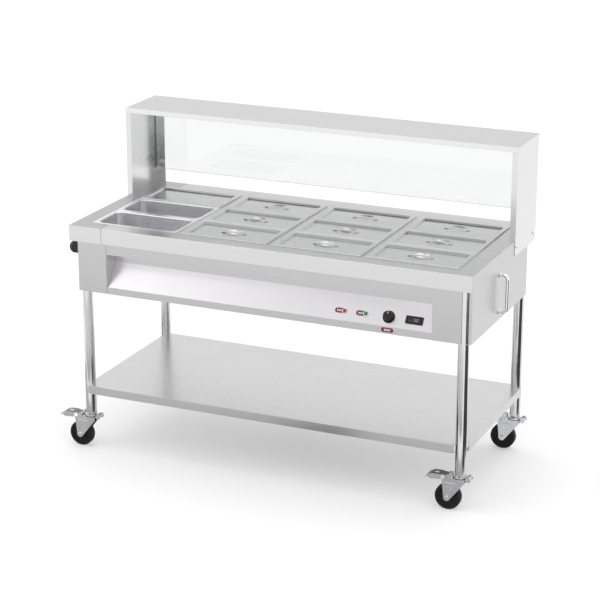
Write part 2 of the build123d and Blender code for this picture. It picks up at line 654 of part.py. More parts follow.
def guard_top_shelf():
    """Flat shelf with a lip turned down at the front and rear."""
    x = (-GUARD_OUTER - 0.8, GUARD_OUTER + 0.8)
    piece = block(x, (GUARD_FRONT, TOP_DEPTH), (GUARD_TOP - SHEET, GUARD_TOP))
    for y in ((GUARD_FRONT, GUARD_FRONT + SHEET), (TOP_DEPTH - SHEET, TOP_DEPTH)):
        piece += block(x, y, (GUARD_TOP - GUARD_LIP, GUARD_TOP))
    lip_z = (GUARD_TOP - GUARD_LIP, GUARD_TOP - GUARD_LIP + SHEET)
    piece = fold(piece, GUARD_TOP, (GUARD_FRONT, TOP_DEPTH))
    hem_x = (-TOP_X[1] + FRONT_FLANGE + 2, TOP_X[1] - FRONT_FLANGE - 2)
    return piece + block(hem_x, (GUARD_FRONT, GUARD_FRONT + 12), lip_z)


def guard_glass():
    rear = TOP_DEPTH - SHEET - 0.2 - GUARD_SHEET - GAP
    half = TOP_X[1] - 3
    glass = block((-half, half), (rear - GLASS_THICKNESS, rear), (GLASS_BOTTOM, GUARD_TOP - 5))
    return fillet(glass.edges().filter_by(Axis.Y).group_by(Axis.Z)[0], 6)


def guard_bolts():
    """Four dome-headed bolts that hold the guard to the worktop's ends."""
    bolts = []
    for side in (-1, 1):
        for y in BOLT_Y:
            head = rod_x(y, BOLT_Z, 7.5, (0, 1.6))
            head += Pos(1.6, y, BOLT_Z) * (Rot(0, 90, 0) * Cone(6, 3, 3.2, align=(
                Align.CENTER, Align.CENTER, Align.MIN)))
            shank = rod_x(y, BOLT_Z, BOLT_RADIUS, (-14, 0.5))
            nut = rod_x(y, BOLT_Z, 6, (-10, -GUARD_SHEET - 0.2 - SHEET))
            bolt = Pos(GUARD_OUTER, 0, 0) * (head + shank + nut)
            bolts.append(bolt if side > 0 else mirror(bolt, about=Plane.YZ))
    return group(bolts)


def side_handle():
    """Bow handle on the right side panel, with a rosette and a stud at each foot."""
    face = TOP_X[1]
    reach = face + HANDLE_REACH - HANDLE_RADIUS
    low, high = HANDLE_Z
    route = FilletPolyline((face, low), (reach, low), (reach, high), (face, high), radius=13)
    route = Pos(0, HANDLE_Y, 0) * (Plane.XZ * route)
    profile = Plane(origin=(face, HANDLE_Y, low), z_dir=(1, 0, 0)) * Circle(HANDLE_RADIUS)
    piece = sweep(profile, path=route)
    for z in HANDLE_Z:
        piece += rod_x(HANDLE_Y, z, 10, (face, face + 3))
        piece += rod_x(HANDLE_Y, z, 2.5, (face - 10, face + 1))
    return piece


# ---- food pans and lids ------------------------------------------------------------------
def pan_body(inset, floor_radius):
    """Tapered body of a pan about the Z axis, inset from the mouth all round."""
    length, width = PAN_MOUTH[0] - 2 * inset, PAN_MOUTH[1] - 2 * inset
    mouth = RectangleRounded(length, width, PAN_CORNER - inset)
    body = extrude(mouth, -PAN_DEPTH + inset, taper=PAN_TAPER)
    return fillet(body.edges().group_by(Axis.Z)[0], floor_radius)


def pan_shape():
    """One pan about the Z axis, its flange's underside at Z = 0, bent over at the mouth."""
    near_mouth = (PAN_MOUTH[0] / 2 + 1, PAN_MOUTH[1] / 2 + 1)
    shell = rounded_plate(PAN_LENGTH, PAN_WIDTH, 9, (0, PAN_WALL)) + pan_body(0, PAN_FLOOR_RADIUS)
    shell = fillet(edges_at(shell, 0, *near_mouth), MOUTH_BEND)
    shell = fillet(shell.edges().group_by(Axis.Z)[-1], 0.4)
    hollow = Pos(0, 0, PAN_WALL) * pan_body(PAN_WALL, PAN_FLOOR_RADIUS - PAN_WALL)
    above = (PAN_WALL, PAN_WALL + 10)
    hollow += rounded_plate(PAN_LENGTH + 10, PAN_WIDTH + 10, 9, above)
    hollow = fillet(edges_at(hollow, PAN_WALL, *near_mouth), MOUTH_BEND + PAN_WALL)
    return shell - hollow


def plain_lid():
    """Lid without dish or handle: turned-down edge and sunk pocket, the edge at Z = 0."""
    length = PAN_LENGTH - 2 * LID_MARGIN
    width = PAN_WIDTH - 2 * LID_MARGIN
    pocket_length, pocket_width = length - 2 * LID_RIM, width - 2 * LID_RIM
    lid = rounded_plate(length, width, 8, (0, LID_EDGE))
    lid = fillet(lid.edges().group_by(Axis.Z)[-1], 1.6)
    lid -= rounded_plate(length - 2.4, width - 2.4, 7, (-1, LID_EDGE - LID_SHEET))
    below = RectangleRounded(pocket_length + 2.4, pocket_width + 2.4, 15)
    lid += Pos(0, 0, LID_EDGE) * extrude(below, -LID_POCKET - LID_SHEET, taper=25)
    pocket = extrude(RectangleRounded(pocket_length, pocket_width, 14), -LID_POCKET, taper=25)
    lid -= Pos(0, 0, LID_EDGE) * fillet(pocket.edges().group_by(Axis.Z)[0], 2.5)
    return fillet(edges_at(lid, LID_EDGE, pocket_length / 2 + 1, pocket_width / 2 + 1), 1.5)


def dished_lid():
    """Plain lid with a round dish sunk in its middle."""
    lid = plain_lid()
    floor = LID_EDGE - LID_POCKET
    dish_radius = (DISH_RADIUS ** 2 + DISH_DEPTH ** 2) / (2 * DISH_DEPTH)
    dish_centre = Pos(0, 0, floor - DISH_DEPTH + dish_radius)
    under_floor = Pos(0, 0, floor - 50) * Box(120, 120, 100)
    lid += (dish_centre * Sphere(dish_radius + LID_SHEET)) & under_floor
    lid -= dish_centre * Sphere(dish_radius)
    rim = [
        edge for edge in edges_at(lid, floor, DISH_RADIUS + 1, DISH_RADIUS + 1)
        if edge.geom_type == GeomType.CIRCLE and abs(edge.radius - DISH_RADIUS) < 0.5
    ]
    return fillet(rim, 0.8)


def lid_strap():
    """Arched strap handle that spans the lid's dish along X."""
    foot = LID_EDGE - LID_POCKET
    crown = foot + STRAP_RISE
    reach = DISH_RADIUS + 8
    top_foot, top_crown = foot + STRAP_THICKNESS, crown + STRAP_THICKNESS
    under = ThreePointArc((-reach, foot), (0, crown), (reach, foot))
    over = ThreePointArc((-reach, top_foot), (0, top_crown), (reach, top_foot))
    ends = [Line(under @ 0, over @ 0), Line(under @ 1, over @ 1)]
    face = make_face(Plane.XZ * Curve([under, over] + ends))
    strap = extrude(Pos(0, STRAP_WIDTH / 2, 0) * face, STRAP_WIDTH)
    corners = strap.edges().filter_by(Axis.Z)
    return fillet(corners, 4)


def place_names():
    """(row, column) of every pan, numbered from the front left."""
    return [(row, column) for column in range(1, COLUMNS + 1) for row in range(1, ROWS + 1)]


def pan_centre(row, column):
    return (
        FIRST_COLUMN_X + (column - 1) * COLUMN_PITCH,
        FIRST_ROW_Y + (row - 1) * ROW_PITCH,
    )


# ---- assembly ----------------------------------------------------------------------------
def leg_places():
    """Name ending and place of each leg."""
    names = {0: "left", 1: "right"}
    ends = {0: "front", 1: "rear"}
    return {
        f"{ends[j]}_{names[i]}": (LEG_X[i], LEG_Y[j]) for j in (0, 1) for i in (0, 1)
    }


def build_parts():
    """Every sub-part by node name, in the layout's own place."""
    parts = {
        "worktop_main": worktop_main(),
        "worktop_left_end": worktop_left_end(),
        "divider_bars": divider_bars(),
        "front_panels": group([front_panel_left(), front_frame()]),
        "control_panel": control_panel(),
        "side_panel_right": side_panel_right(),
        "side_panel_left": side_panel_left(),
        "rear_and_floor_panel": rear_and_floor_panel(),
        "water_tank": water_tank(),
        "heating_element": heating_element(),
        "thermostat": thermostat(),
        "temperature_knob": temperature_knob(),
        "lamp_red": lamp(LAMP_RED_X),
        "lamp_green": lamp(LAMP_GREEN_X),
        "display_unit": display_unit(),
        "power_inlet": power_inlet(),
        "drain_valve": drain_valve(),
        "drain_lever": drain_lever(),
        "legs": legs(),
        "undershelf": undershelf(),
        "caster_stems": caster_stems(),
        "guard_sides": group([guard_side(-1), guard_side(1)]),
        "guard_top_shelf": guard_top_shelf(),
        "guard_glass": guard_glass(),
        "guard_bolts": guard_bolts(),
        "side_handle": side_handle(),
    }
    for name, place in leg_places().items():
        parts[f"caster_fork_{name}"] = caster_fork(*place)
        parts[f"caster_wheel_{name}"] = caster_wheel(*place)
        parts[f"brake_pedal_{name}"] = brake_pedal(*place)
    pan = pan_shape()
    lid, strap, plain = dished_lid(), lid_strap(), plain_lid()
    for row, column in place_names():
        x, y = pan_centre(row, column)
        parts[f"pan_{column}_{row}"] = Pos(x, y, PAN_Z) * pan
        if column > OPEN_COLUMNS:
            parts[f"lid_{column}_{row}"] = group([Pos(x, y, LID_Z) * piece for piece in (lid, strap)])
        elif (row, column) == PLAIN_LID:
            parts[f"lid_{column}_{row}"] = Pos(x, y, LID_Z) * plain
    return parts


def main():
    os.makedirs("parts", exist_ok=True)
    to_origin = Pos(-ORIGIN_X, -ORIGIN_Y, 0)
    for name, part in build_parts().items():
        export_step(to_origin * part, f"parts/{name}.step")


if __name__ == "__main__":
    main()
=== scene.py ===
import bpy
import bmesh
import math
from mathutils import Matrix, Vector


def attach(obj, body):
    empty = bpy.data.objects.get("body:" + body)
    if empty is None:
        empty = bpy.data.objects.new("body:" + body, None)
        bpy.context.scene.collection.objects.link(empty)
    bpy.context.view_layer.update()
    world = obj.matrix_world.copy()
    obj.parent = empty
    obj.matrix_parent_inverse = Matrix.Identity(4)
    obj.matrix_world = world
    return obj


# Steam table unit: materials, small fittings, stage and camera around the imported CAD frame.
# Blender works in metres; the fittings' own sizes are given in millimetres.

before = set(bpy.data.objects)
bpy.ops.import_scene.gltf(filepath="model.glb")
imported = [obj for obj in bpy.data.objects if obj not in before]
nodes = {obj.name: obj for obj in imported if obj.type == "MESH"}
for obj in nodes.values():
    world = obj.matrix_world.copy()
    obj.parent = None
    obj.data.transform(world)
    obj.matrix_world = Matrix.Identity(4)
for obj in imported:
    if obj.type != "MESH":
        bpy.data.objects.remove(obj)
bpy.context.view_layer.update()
MM = 0.001
EVEN = (1, 1, 1)                     # noise that is not stretched along any axis


# ---- materials ---------------------------------------------------------------------------
def new_material(name):
    """New node material, its node tree and its main shader."""
    material = bpy.data.materials.new(name)
    material.use_nodes = True
    tree = material.node_tree
    shader = tree.nodes["Principled BSDF"]
    return material, tree, shader


def noise(tree, scale, stretch=EVEN, detail=3.0, roughness=0.55, seed=0.0):
    """Noise over the object's own coordinates, stretched along an axis."""
    coords = tree.nodes.new("ShaderNodeTexCoord")
    mapping = tree.nodes.new("ShaderNodeMapping")
    mapping.inputs["Scale"].default_value = stretch
    mapping.inputs["Location"].default_value = (seed, seed * 0.7, seed * 1.3)
    texture = tree.nodes.new("ShaderNodeTexNoise")
    texture.inputs["Scale"].default_value = scale
    texture.inputs["Detail"].default_value = detail
    texture.inputs["Roughness"].default_value = roughness
    tree.links.new(coords.outputs["Object"], mapping.inputs["Vector"])
    tree.links.new(mapping.outputs["Vector"], texture.inputs["Vector"])
    return texture.outputs["Fac"]


def spread(tree, value, low, high):
    """Maps a noise value from its usual middle range to low..high."""
    node = tree.nodes.new("ShaderNodeMapRange")
    node.inputs["From Min"].default_value = 0.3
    node.inputs["From Max"].default_value = 0.7
    node.inputs["To Min"].default_value = low
    node.inputs["To Max"].default_value = high
    tree.links.new(value, node.inputs["Value"])
    return node.outputs["Result"]


def add(tree, a, b):
    """Sum of two node outputs."""
    node = tree.nodes.new("ShaderNodeMath")
    node.operation = "ADD"
    tree.links.new(a, node.inputs[0])
    tree.links.new(b, node.inputs[1])
    return node.outputs[0]


def tinted(tree, colour, value, low, high):
    """Colour multiplied by a varying factor."""
    factor = spread(tree, value, low, high)
    mix = tree.nodes.new("ShaderNodeVectorMath")
    mix.operation = "SCALE"
    mix.inputs[0].default_value = colour
    tree.links.new(factor, mix.inputs["Scale"])
    return mix.outputs["Vector"]


def bump(tree, shader, value, strength, distance):
    """Lets a noise value raise and lower the surface, by up to distance in metres."""
    node = tree.nodes.new("ShaderNodeBump")
    node.inputs["Strength"].default_value = strength
    node.inputs["Distance"].default_value = distance
    tree.links.new(value, node.inputs["Height"])
    tree.links.new(node.outputs["Normal"], shader.inputs["Normal"])


def brushed(name, colour, rough, grain, strength=0.2, seed=0.0):
    """Brushed stainless steel: fine grain along one axis, faint smudges and handling marks."""
    material, tree, shader = new_material(name)
    shader.inputs["Metallic"].default_value = 1.0
    along = {"x": (4, 420, 420), "y": (420, 4, 420), "z": (420, 420, 4)}[grain]
    grain_fine = noise(tree, 5.0, along, 2.0, 0.6, seed)
    smudge = noise(tree, 7.0, EVEN, 4.0, 0.6, seed + 3.1)
    marks = noise(tree, 26.0, EVEN, 2.0, 0.5, seed + 7.7)
    tree.links.new(tinted(tree, colour, smudge, 0.985, 1.015), shader.inputs["Base Color"])
    rough_grain = spread(tree, grain_fine, -0.03, 0.03)
    rough_smudge = spread(tree, smudge, rough - 0.02, rough + 0.025)
    rough_marks = spread(tree, marks, -0.006, 0.008)
    total = add(tree, add(tree, rough_grain, rough_smudge), rough_marks)
    tree.links.new(total, shader.inputs["Roughness"])
    bump(tree, shader, grain_fine, strength, 0.00012)
    return material


def polished(name, colour, rough, seed=0.0, wave=0.05):
    """Polished or plated metal with faint waviness."""
    material, tree, shader = new_material(name)
    shader.inputs["Metallic"].default_value = 1.0
    smudge = noise(tree, 18.0, EVEN, 4.0, 0.6, seed)
    tree.links.new(tinted(tree, colour, smudge, 0.96, 1.03), shader.inputs["Base Color"])
    tree.links.new(spread(tree, smudge, rough * 0.7, rough * 1.5), shader.inputs["Roughness"])
    bump(tree, shader, noise(tree, 60.0, EVEN, 2.0, 0.5, seed + 5), wave, 0.0004)
    return material


def moulded(name, colour, rough, fineness, strength, seed, coat=0.0, specular=0.5):
    """Plastic, rubber or paint: fine moulded texture and a little uneven gloss."""
    material, tree, shader = new_material(name)
    dust = noise(tree, 45.0, EVEN, 4.0, 0.6, seed)
    tree.links.new(tinted(tree, colour, dust, 0.85, 1.2), shader.inputs["Base Color"])
    tree.links.new(spread(tree, dust, rough - 0.06, rough + 0.08), shader.inputs["Roughness"])
    shader.inputs["Coat Weight"].default_value = coat
    shader.inputs["Specular IOR Level"].default_value = specular
    bump(tree, shader, noise(tree, fineness, EVEN, 2.0, 0.6, seed + 2), strength, 0.0001)
    return material


def lens(name, colour, glow):
    """Coloured translucent lamp lens."""
    material, tree, shader = new_material(name)
    clouds = noise(tree, 300.0, EVEN, 2.0)
    tree.links.new(tinted(tree, colour, clouds, 0.9, 1.1), shader.inputs["Base Color"])
    tree.links.new(spread(tree, clouds, 0.08, 0.16), shader.inputs["Roughness"])
    shader.inputs["Emission Color"].default_value = (*colour, 1)
    shader.inputs["Emission Strength"].default_value = glow
    shader.inputs["Coat Weight"].default_value = 0.6
    return material


def glass(name):
    """Clear glass or clear plastic, wiped not quite clean."""
    material, tree, shader = new_material(name)
    shader.inputs["Base Color"].default_value = (0.862, 0.870, 0.868, 1)
    shader.inputs["Transmission Weight"].default_value = 1.0
    shader.inputs["IOR"].default_value = 1.45
    wipe = noise(tree, 3.0, (1, 1, 2), 3.0)
    tree.links.new(spread(tree, wipe, 0.0, 0.03), shader.inputs["Roughness"])
    return material


STEEL_TOP = brushed("steel_worktop", (0.57, 0.57, 0.57), 0.30, "x", seed=1)
# Painted shade: the worktop's left end is the worktop steel made darker.
STEEL_WORKTOP_PAINTED_SHADE = brushed("steel_worktop_painted_shade", (0.43, 0.43, 0.43), 0.31, "x", seed=14)
# Painted light: the worktop's front and rear faces are the worktop steel made lighter.
STEEL_WORKTOP_PAINTED_LIGHT = brushed("steel_worktop_painted_light", (0.68, 0.68, 0.682), 0.30, "x", seed=29)
STEEL_FRONT = brushed("steel_front", (0.55, 0.545, 0.55), 0.30, "x", seed=2)
STEEL_SLOPE = brushed("steel_slope", (0.56, 0.55, 0.565), 0.32, "x", strength=0.15, seed=3)
# Painted glow: the ceiling of the control recess glows faintly, as if lit by the studio from the
# front, so that the sloping panel mirrors painted light there.
RECESS_CEILING_PAINTED_GLOW = brushed("recess_ceiling_painted_glow", (0.97, 0.97, 0.97), 0.30, "x", seed=33)
RECESS_PAINTED_GLOW_SHADER = RECESS_CEILING_PAINTED_GLOW.node_tree.nodes["Principled BSDF"]
RECESS_PAINTED_GLOW_SHADER.inputs["Emission Color"].default_value = (1, 1, 1, 1)
RECESS_PAINTED_GLOW_SHADER.inputs["Emission Strength"].default_value = 0.70
STEEL_SIDE = brushed("steel_side", (0.56, 0.56, 0.565), 0.30, "z", seed=4)
STEEL_SHELF = brushed("steel_shelf", (0.61, 0.61, 0.61), 0.26, "x", seed=5)
# Painted shade: the undershelf's front and rear faces are the shelf steel made darker.
STEEL_SHELF_PAINTED_SHADE = brushed("steel_shelf_painted_shade", (0.545, 0.545, 0.545), 0.30, "x", seed=30)
STEEL_GUARD = brushed("steel_guard", (0.72, 0.72, 0.72), 0.24, "z", strength=0.15, seed=6)
STEEL_GUARD_TOP = brushed("steel_guard_top", (0.565, 0.565, 0.565), 0.28, "x", seed=7)
# Painted light: the front and rear faces of the guard's top shelf, lighter than its top.
STEEL_GUARD_TOP_PAINTED_LIGHT = brushed("steel_guard_top_painted_light", (0.78, 0.78, 0.78), 0.28, "x", seed=31)
STEEL_PAN = brushed("steel_pan", (0.78, 0.78, 0.80), 0.28, "x", strength=0.12, seed=8)
STEEL_LID = brushed("steel_lid", (0.585, 0.585, 0.59), 0.24, "x", strength=0.15, seed=9)
# Painted shade: the front-facing rear wall of each lid's pocket is the lid steel made much darker.
STEEL_LID_PAINTED_SHADE = brushed("steel_lid_painted_shade", (0.30, 0.30, 0.305), 0.30, "x", strength=0.1, seed=35)
STEEL_INNER = brushed("steel_inner", (0.55, 0.55, 0.55), 0.36, "x", seed=10)
TUBE = polished("polished_tube", (0.70, 0.70, 0.71), 0.10, seed=11)
CHROME = polished("chrome", (0.85, 0.85, 0.86), 0.06, seed=12)
ZINC = polished("zinc_plate", (0.74, 0.75, 0.77), 0.20, seed=13, wave=0.12)
ELEMENT = polished("element_steel", (0.42, 0.40, 0.38), 0.32, seed=15)
BRASS = polished("valve_brass", (0.72, 0.57, 0.30), 0.28, seed=16, wave=0.3)
RUBBER = moulded("wheel_rubber", (0.012, 0.012, 0.013), 0.52, 500.0, 0.3, seed=17, specular=0.15)
INLET_PLASTIC = moulded("inlet_plastic", (0.034, 0.034, 0.036), 0.36, 900.0, 0.2, seed=34,
                        specular=0.3)
PLASTIC = moulded("black_plastic", (0.008, 0.008, 0.009), 0.36, 900.0, 0.2, seed=18, specular=0.3)
GLOSS_BLACK = moulded("display_black", (0.004, 0.004, 0.006), 0.25, 300.0, 0.02, seed=19,
                      coat=0.1, specular=0.25)
RED_PAINT = moulded("lever_red", (0.45, 0.02, 0.02), 0.35, 300.0, 0.1, seed=20, coat=0.3)
LABEL_RED = moulded("label_red", (0.11, 0.004, 0.012), 0.30, 400.0, 0.05, seed=21, coat=0.4)
LABEL_EDGE = moulded("label_edge", (0.62, 0.45, 0.47), 0.4, 400.0, 0.05, seed=24)
KEY_GREY = moulded("display_keys_grey", (0.05, 0.05, 0.055), 0.4, 500.0, 0.1, seed=25)
SMOKED = moulded("display_smoked", (0.008, 0.006, 0.008), 0.15, 300.0, 0.01, seed=26,
                 coat=0.2, specular=0.3)
PEDAL_DARK = polished("pedal_zinc_dark", (0.16, 0.16, 0.165), 0.30, seed=27, wave=0.2)
STEEL_DARK = polished("oiled_steel", (0.10, 0.10, 0.10), 0.35, seed=28, wave=0.1)
PRINT_WHITE = moulded("print_white", (0.80, 0.80, 0.80), 0.5, 400.0, 0.05, seed=22)
PRINT_RED = moulded("print_red", (0.22, 0.008, 0.02), 0.5, 400.0, 0.05, seed=23)
LENS_RED = lens("lens_red", (0.30, 0.006, 0.015), 0.10)
LENS_GREEN = lens("lens_green", (0.004, 0.16, 0.03), 0.12)
DIGITS = lens("digit_segments", (0.50, 0.30, 0.33), 0.35)
GLASS = glass("guard_glass_clear")
CLEAR_STRIP = glass("clear_edge_strip")


# ---- CAD nodes: materials and edge rounding ----------------------------------------------
def dress(node, material, edge):
    """Gives a CAD node its material and rounds its cut edges by edge millimetres, unless 0."""
    piece = nodes[node]
    piece.data.materials.clear()
    piece.data.materials.append(material)
    for polygon in piece.data.polygons:
        polygon.use_smooth = True
    if edge:
        round_edges(piece, edge, cad_mesh=True)


def round_edges(piece, edge, cad_mesh=False):
    """Bevels an object's edges and shades its flat faces flat."""
    if cad_mesh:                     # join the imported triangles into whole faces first
        weld = piece.modifiers.new("weld", "WELD")
        weld.merge_threshold = 1e-6
        flat = piece.modifiers.new("flat", "DECIMATE")
        flat.decimate_type = "DISSOLVE"
        flat.angle_limit = math.radians(0.6)
    bevel = piece.modifiers.new("edge", "BEVEL")
    bevel.width = edge * MM
    bevel.segments = 2
    bevel.limit_method = "ANGLE"
    bevel.angle_limit = math.radians(32)
    bevel.miter_outer = "MITER_ARC"
    shading = piece.modifiers.new("shading", "WEIGHTED_NORMAL")
    shading.mode = "FACE_AREA"
    shading.weight = 100
    shading.keep_sharp = False


def paint_faces(node, material, wanted):
    """Gives the faces for which wanted(face) is true a second material."""
    mesh = nodes[node].data
    mesh.materials.append(material)
    for polygon in mesh.polygons:
        if wanted(polygon):
            polygon.material_index = len(mesh.materials) - 1


def middle_y(node):
    """Y of the middle of a CAD node's box."""
    levels = [vertex.co.y for vertex in nodes[node].data.vertices]
    return (min(levels) + max(levels)) / 2


LID_STEP = 35 * MM                   # a lid's rear step starts this far behind its middle
PEDAL_TREAD = 124.9 * MM             # the pedals' upper faces lie below this
RECESS_LEVEL = 700 * MM              # above this, faces that look down are the recess's ceiling

for node_name in nodes:
    if node_name.startswith("pan_"):
        dress(node_name, STEEL_PAN, 0)
    elif node_name.startswith("lid_"):
        dress(node_name, STEEL_LID, 0)
        # Painted shade on the front-facing faces at the rear of the lid's pocket.
        rear = middle_y(node_name) + LID_STEP
        paint_faces(node_name, STEEL_LID_PAINTED_SHADE,
                    lambda face: face.normal.y < -0.35 and face.center.y > rear)
    elif node_name.startswith("caster_wheel"):
        dress(node_name, RUBBER, 0.8)
    elif node_name.startswith("brake_pedal"):
        dress(node_name, ZINC, 0.5)
        paint_faces(node_name, PEDAL_DARK,
                    lambda face: face.normal.z > 0.6 and face.center.z < PEDAL_TREAD)
    elif node_name.startswith(("caster_fork", "caster_stems")):
        dress(node_name, ZINC, 0.5)

for node_name, material, edge in (
    ("worktop_main", STEEL_TOP, 0.5),
    ("worktop_left_end", STEEL_WORKTOP_PAINTED_SHADE, 0.5),
    ("divider_bars", STEEL_TOP, 0.4),
    ("front_panels", STEEL_FRONT, 0.4),
    ("control_panel", STEEL_SLOPE, 0.4),
    ("side_panel_left", STEEL_SIDE, 0.4),
    ("side_panel_right", STEEL_SIDE, 0.4),
    ("rear_and_floor_panel", STEEL_SIDE, 0.4),
    ("water_tank", STEEL_INNER, 0.4),
    ("heating_element", ELEMENT, 0),
    ("thermostat", PLASTIC, 0.6),
    ("drain_valve", BRASS, 0.5),
    ("drain_lever", RED_PAINT, 0.8),
    ("undershelf", STEEL_SHELF, 0.5),
    ("legs", TUBE, 0.3),
    ("guard_sides", STEEL_GUARD, 0.6),
    ("guard_top_shelf", STEEL_GUARD_TOP, 0.5),
    ("guard_glass", GLASS, 0.8),
    ("guard_bolts", CHROME, 0.4),
    ("side_handle", CHROME, 0.4),
    ("power_inlet", INLET_PLASTIC, 0.6),
    ("lamp_red", LENS_RED, 0.2),
    ("lamp_green", LENS_GREEN, 0.2),
    ("display_unit", GLOSS_BLACK, 0.4),
    ("temperature_knob", PLASTIC, 0.4),
):
    dress(node_name, material, edge)

# Painted light: the worktop's front and rear faces get the lighter copy of its steel.
for node_name in ("worktop_main", "worktop_left_end"):
    paint_faces(node_name, STEEL_WORKTOP_PAINTED_LIGHT, lambda face: abs(face.normal.y) > 0.8)
# Painted glow on the faces that look down under the control recess's top.
paint_faces("front_panels", RECESS_CEILING_PAINTED_GLOW,
            lambda face: face.normal.z < -0.8 and face.center.z > RECESS_LEVEL)
# Painted light on the front and rear faces of the guard's top shelf.
paint_faces("guard_top_shelf", STEEL_GUARD_TOP_PAINTED_LIGHT, lambda face: abs(face.normal.y) > 0.8)
# Painted shade on the undershelf's front and rear faces.
paint_faces("undershelf", STEEL_SHELF_PAINTED_SHADE, lambda face: abs(face.normal.y) > 0.8)


# ---- small pieces: shapes in millimetres -------------------------------------------------
# Positions are given in the layout, whose X = 0 is the worktop's middle and Y = 0 its front.
ORIGIN_X, ORIGIN_Y = -15.0, 328.75   # the frame's origin in the layout
PANEL_FOOT = (2.4, 612.0)            # Y and Z of the sloping panel's lower edge
CONTROLS_UP = 34.0                   # the controls' row, measured up the sloping panel
SLOPE = Vector((0.0, 57.6, 78.0)).normalized()
SLOPE_OUT = Vector((0.0, -SLOPE.z, SLOPE.y))


def place(x, y, z):
    """Point of the layout, in millimetres, as a point of the frame, in metres."""
    return Vector(((x - ORIGIN_X) * MM, (y - ORIGIN_Y) * MM, z * MM))


def facing(point, right, up, out):
    """Placement with local X, Y and Z along right, up and out."""
    return Matrix.Translation(point) @ Matrix((right, up, out)).transposed().to_4x4()


def on_panel(x):
    """Place on the sloping control panel, at the height of the controls' row."""
    centre = place(x, *PANEL_FOOT) + SLOPE * (CONTROLS_UP * MM)
    return facing(centre, Vector((1, 0, 0)), SLOPE, SLOPE_OUT)


def on_front(x, y, z):
    """Place on an upright face that looks to the front."""
    return facing(place(x, y, z), Vector((1, 0, 0)), Vector((0, 0, 1)), Vector((0, -1, 0)))


def on_right(x, y, z):
    """Place on an upright face that looks to the right."""
    return facing(place(x, y, z), Vector((0, 1, 0)), Vector((0, 0, 1)), Vector((1, 0, 0)))


def on_rear(x, y, z):
    """Place on an upright face that looks to the rear."""
    return facing(place(x, y, z), Vector((-1, 0, 0)), Vector((0, 0, 1)), Vector((0, 1, 0)))


def flat_on(x, y, z):
    """Place on a level face."""
    return Matrix.Translation(place(x, y, z))


def prism(mesh, outline, low, high):
    """Adds a plate with a closed outline, given anticlockwise, to a bmesh."""
    bottom = [mesh.verts.new((x * MM, y * MM, low * MM)) for x, y in outline]
    top = [mesh.verts.new((x * MM, y * MM, high * MM)) for x, y in outline]
    mesh.faces.new(bottom[::-1])
    mesh.faces.new(top)
    for index in range(len(outline)):
        after = (index + 1) % len(outline)
        mesh.faces.new((bottom[index], bottom[after], top[after], top[index]))


def lathe(mesh, profile, steps=48):
    """Adds a closed (radius, height) profile turned about the Z axis to a bmesh."""
    rings = []
    for step in range(steps):
        angle = 2 * math.pi * step / steps
        turn = (math.cos(angle) * MM, math.sin(angle) * MM)
        rings.append([mesh.verts.new((r * turn[0], r * turn[1], z * MM)) for r, z in profile])
    for step, ring in enumerate(rings):
        following = rings[(step + 1) % steps]
        for index in range(len(profile)):
            after = (index + 1) % len(profile)
            mesh.faces.new((ring[index], following[index], following[after], ring[after]))


def oblong(x, y):
    """Rectangle between two X and two Y values."""
    return [(x[0], y[0]), (x[1], y[0]), (x[1], y[1]), (x[0], y[1])]


def rounded(length, width, radius, steps=8):
    """Rectangle with rounded corners about the origin."""
    points = []
    for turn, (sx, sy) in enumerate(((1, 1), (-1, 1), (-1, -1), (1, -1))):
        for step in range(steps + 1):
            angle = math.radians(90 * (turn + step / steps))
            x = sx * (length / 2 - radius) + radius * math.cos(angle)
            y = sy * (width / 2 - radius) + radius * math.sin(angle)
            points.append((x, y))
    return points


def arc_band(inner, outer, start, end, steps=20):
    """Part of a flat ring between two angles in degrees."""
    angles = [math.radians(start + (end - start) * step / steps) for step in range(steps + 1)]
    outside = [(outer * math.cos(a), outer * math.sin(a)) for a in angles]
    inside = [(inner * math.cos(a), inner * math.sin(a)) for a in reversed(angles)]
    return outside + inside


def polygon_outline(sides, radius):
    """Regular polygon about the origin."""
    angles = [2 * math.pi * side / sides for side in range(sides)]
    return [(radius * math.cos(a), radius * math.sin(a)) for a in angles]


def shifted(outline, x, y):
    """The same outline, moved."""
    return [(px + x, py + y) for px, py in outline]


def add_piece(name, mesh, material, placement, body, edge):
    """Makes a shown object from a bmesh, puts it in place and lets it ride on a body."""
    bmesh.ops.recalc_face_normals(mesh, faces=mesh.faces[:])
    data = bpy.data.meshes.new(name)
    mesh.to_mesh(data)
    mesh.free()
    data.materials.append(material)
    for polygon in data.polygons:
        polygon.use_smooth = True
    piece = bpy.data.objects.new(name, data)
    bpy.context.scene.collection.objects.link(piece)
    piece.matrix_world = placement
    round_edges(piece, edge)
    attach(piece, body)


def plate(name, outlines, levels, material, placement, body="table", edge=0.1):
    """Adds flat outlines, between two levels, as one piece."""
    mesh = bmesh.new()
    for outline in outlines:
        prism(mesh, outline, *levels)
    add_piece(name, mesh, material, placement, body, edge)


def turned(name, profile, material, placement, body="table", edge=0.15, steps=48):
    """Adds a turned profile as one piece."""
    mesh = bmesh.new()
    lathe(mesh, profile, steps)
    add_piece(name, mesh, material, placement, body, edge)


# ---- controls ----------------------------------------------------------------------------
KNOB_X, RED_X, GREEN_X, DISPLAY_X = 445.0, 289.0, 364.0, 534.0
LABEL_LEFT = 13.5                    # a lamp label's middle, to the left of its lamp
HEATER_LABEL = (447.5, 1.0, 601.5)   # label on the strip under the knob


